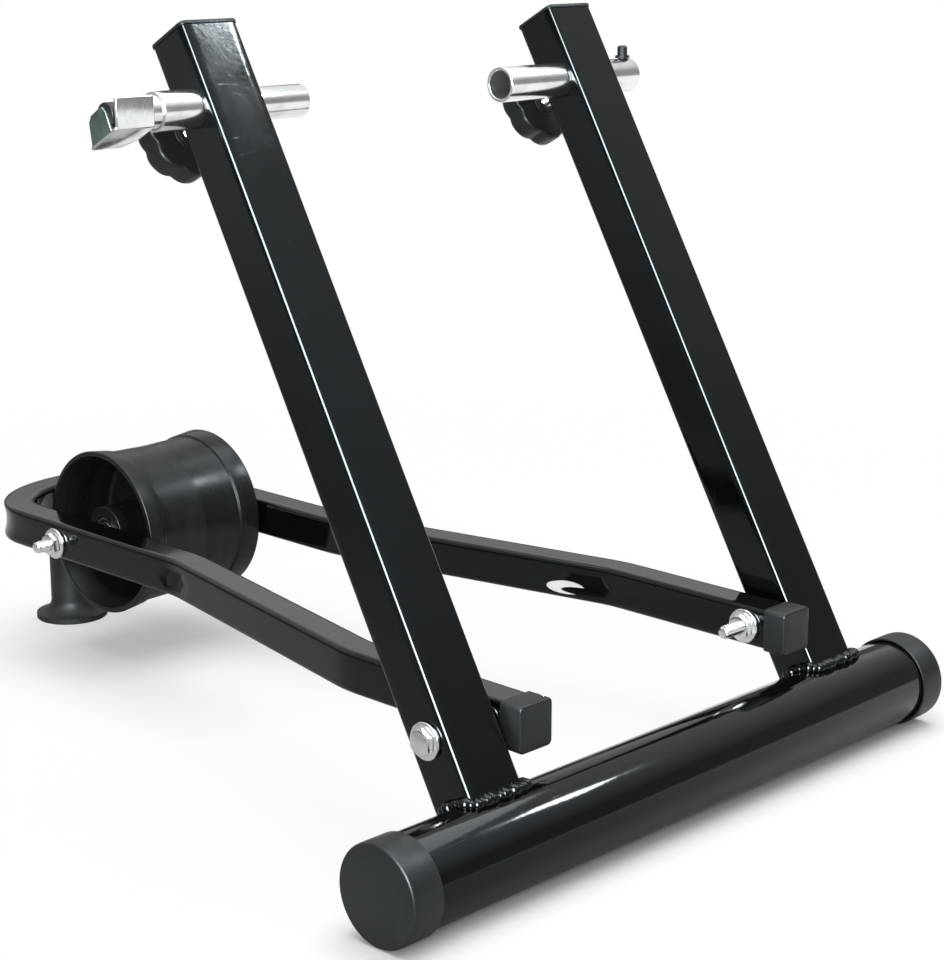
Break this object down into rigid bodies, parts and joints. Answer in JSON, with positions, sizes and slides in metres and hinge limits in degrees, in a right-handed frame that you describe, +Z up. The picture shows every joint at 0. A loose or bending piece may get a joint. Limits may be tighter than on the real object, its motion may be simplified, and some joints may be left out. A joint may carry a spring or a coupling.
{
  "type": "bike trainer stand",
  "caption": "folding stand that holds a bicycle's rear axle between two leaning uprights over a roller on a hinged U frame",
  "frame": {"origin": "on the floor, under the middle of the stand's bounding box", "axes": "+X along the base tube to the right, +Y to the rear, towards the roller, +Z up"},
  "size_m": [0.4546, 0.6164, 0.4386],
  "materials": {
    "black_paint": "gloss black paint on steel tube",
    "black_plastic": "satin black moulded plastic",
    "zinc_plate": "bright zinc plate",
    "drum_plastic": "satin black moulded drum",
    "bearing_steel": "ground steel",
    "foot_rubber": "black moulded rubber"
  },
  "bodies": {
    "stand": {"base_tube": "black_paint", "base_cap_left": "black_plastic", "base_cap_right": "black_plastic", "upright_left": "black_paint", "upright_right": "black_paint", "top_plug_left": "black_plastic", "top_plug_right": "black_plastic", "weld_bead_left": "black_paint", "weld_bead_right": "black_paint", "clamp_sleeve_left": "zinc_plate", "lock_nut_left": "zinc_plate", "lock_nut_right": "zinc_plate", "pivot_bolt_left": "zinc_plate", "pivot_bolt_right": "zinc_plate", "pivot_washer_outer_left": "zinc_plate", "pivot_washer_outer_right": "zinc_plate", "pivot_spacer_left": "zinc_plate", "pivot_spacer_right": "zinc_plate", "pivot_washer_inner_left": "zinc_plate", "pivot_washer_inner_right": "zinc_plate", "pivot_nut_left": "zinc_plate", "pivot_nut_right": "zinc_plate"},
    "folding_frame": {"rear_frame": "black_paint", "arm_cap_left": "black_plastic", "arm_cap_right": "black_plastic", "bearing_spacer": "zinc_plate", "axle_spacer_left": "zinc_plate", "axle_spacer_right": "zinc_plate", "roller_axle": "zinc_plate", "axle_washer_left": "zinc_plate", "axle_washer_right": "zinc_plate", "axle_nut": "zinc_plate", "rear_foot": "foot_rubber", "foot_screw": "zinc_plate"},
    "roller": {"roller_drum": "drum_plastic", "bearing_left": "bearing_steel", "bearing_right": "bearing_steel"},
    "left_pin": {"clamp_pin_left": "zinc_plate"},
    "left_lever": {"clamp_lever_left": "zinc_plate"},
    "right_tube": {"clamp_tube_right": "zinc_plate", "clamp_peg_right": "black_plastic"},
    "left_screw": {"lock_screw_left": "zinc_plate"},
    "left_knob": {"lock_knob_left": "black_plastic"},
    "right_screw": {"lock_screw_right": "zinc_plate"},
    "right_knob": {"lock_knob_right": "black_plastic"}
  },
  "joints": [
    {"name": "frame_fold", "type": "hinge", "parent": "stand", "child": "folding_frame", "pos_m": [0.005, -0.24941, 0.08002], "axis": [1, 0, 0], "range_deg": [0, 55]},
    {"name": "roller_spin", "type": "hinge", "parent": "folding_frame", "child": "roller", "pos_m": [0.0103, 0.18754, 0.08696], "axis": [1, 0, 0], "continuous": true},
    {"name": "left_pin_slide", "type": "slide", "parent": "stand", "child": "left_pin", "axis": [1, 0, 0], "range_m": [-0.04, 0.006]},
    {"name": "left_lever_turn", "type": "hinge", "parent": "left_pin", "child": "left_lever", "pos_m": [-0.2, -0.07968, 0.39171], "axis": [1, 0, 0], "range_deg": [-90, 90]},
    {"name": "right_tube_slide", "type": "slide", "parent": "stand", "child": "right_tube", "axis": [1, 0, 0], "range_m": [-0.018, 0.045]},
    {"name": "left_screw_travel", "type": "slide", "parent": "stand", "child": "left_screw", "axis": [0, 0.8782, -0.4782], "range_m": [0, 0.0101]},
    {"name": "left_knob_turn", "type": "hinge", "parent": "left_screw", "child": "left_knob", "pos_m": [-0.1406, -0.07968, 0.39171], "axis": [0, 0.8782, -0.4782], "range_deg": [0, 2880]},
    {"name": "right_screw_travel", "type": "slide", "parent": "stand", "child": "right_screw", "axis": [0, 0.8782, -0.4782], "range_m": [0, 0.0101]},
    {"name": "right_knob_turn", "type": "hinge", "parent": "right_screw", "child": "right_knob", "pos_m": [0.1506, -0.07968, 0.39171], "axis": [0, 0.8782, -0.4782], "range_deg": [0, 2880]}
  ],
  "couplings": [
    {"joint": "left_screw_travel", "follows": "left_knob_turn", "m_per_rad": 0.00019894},
    {"joint": "right_screw_travel", "follows": "right_knob_turn", "m_per_rad": 0.00019894}
  ]
}
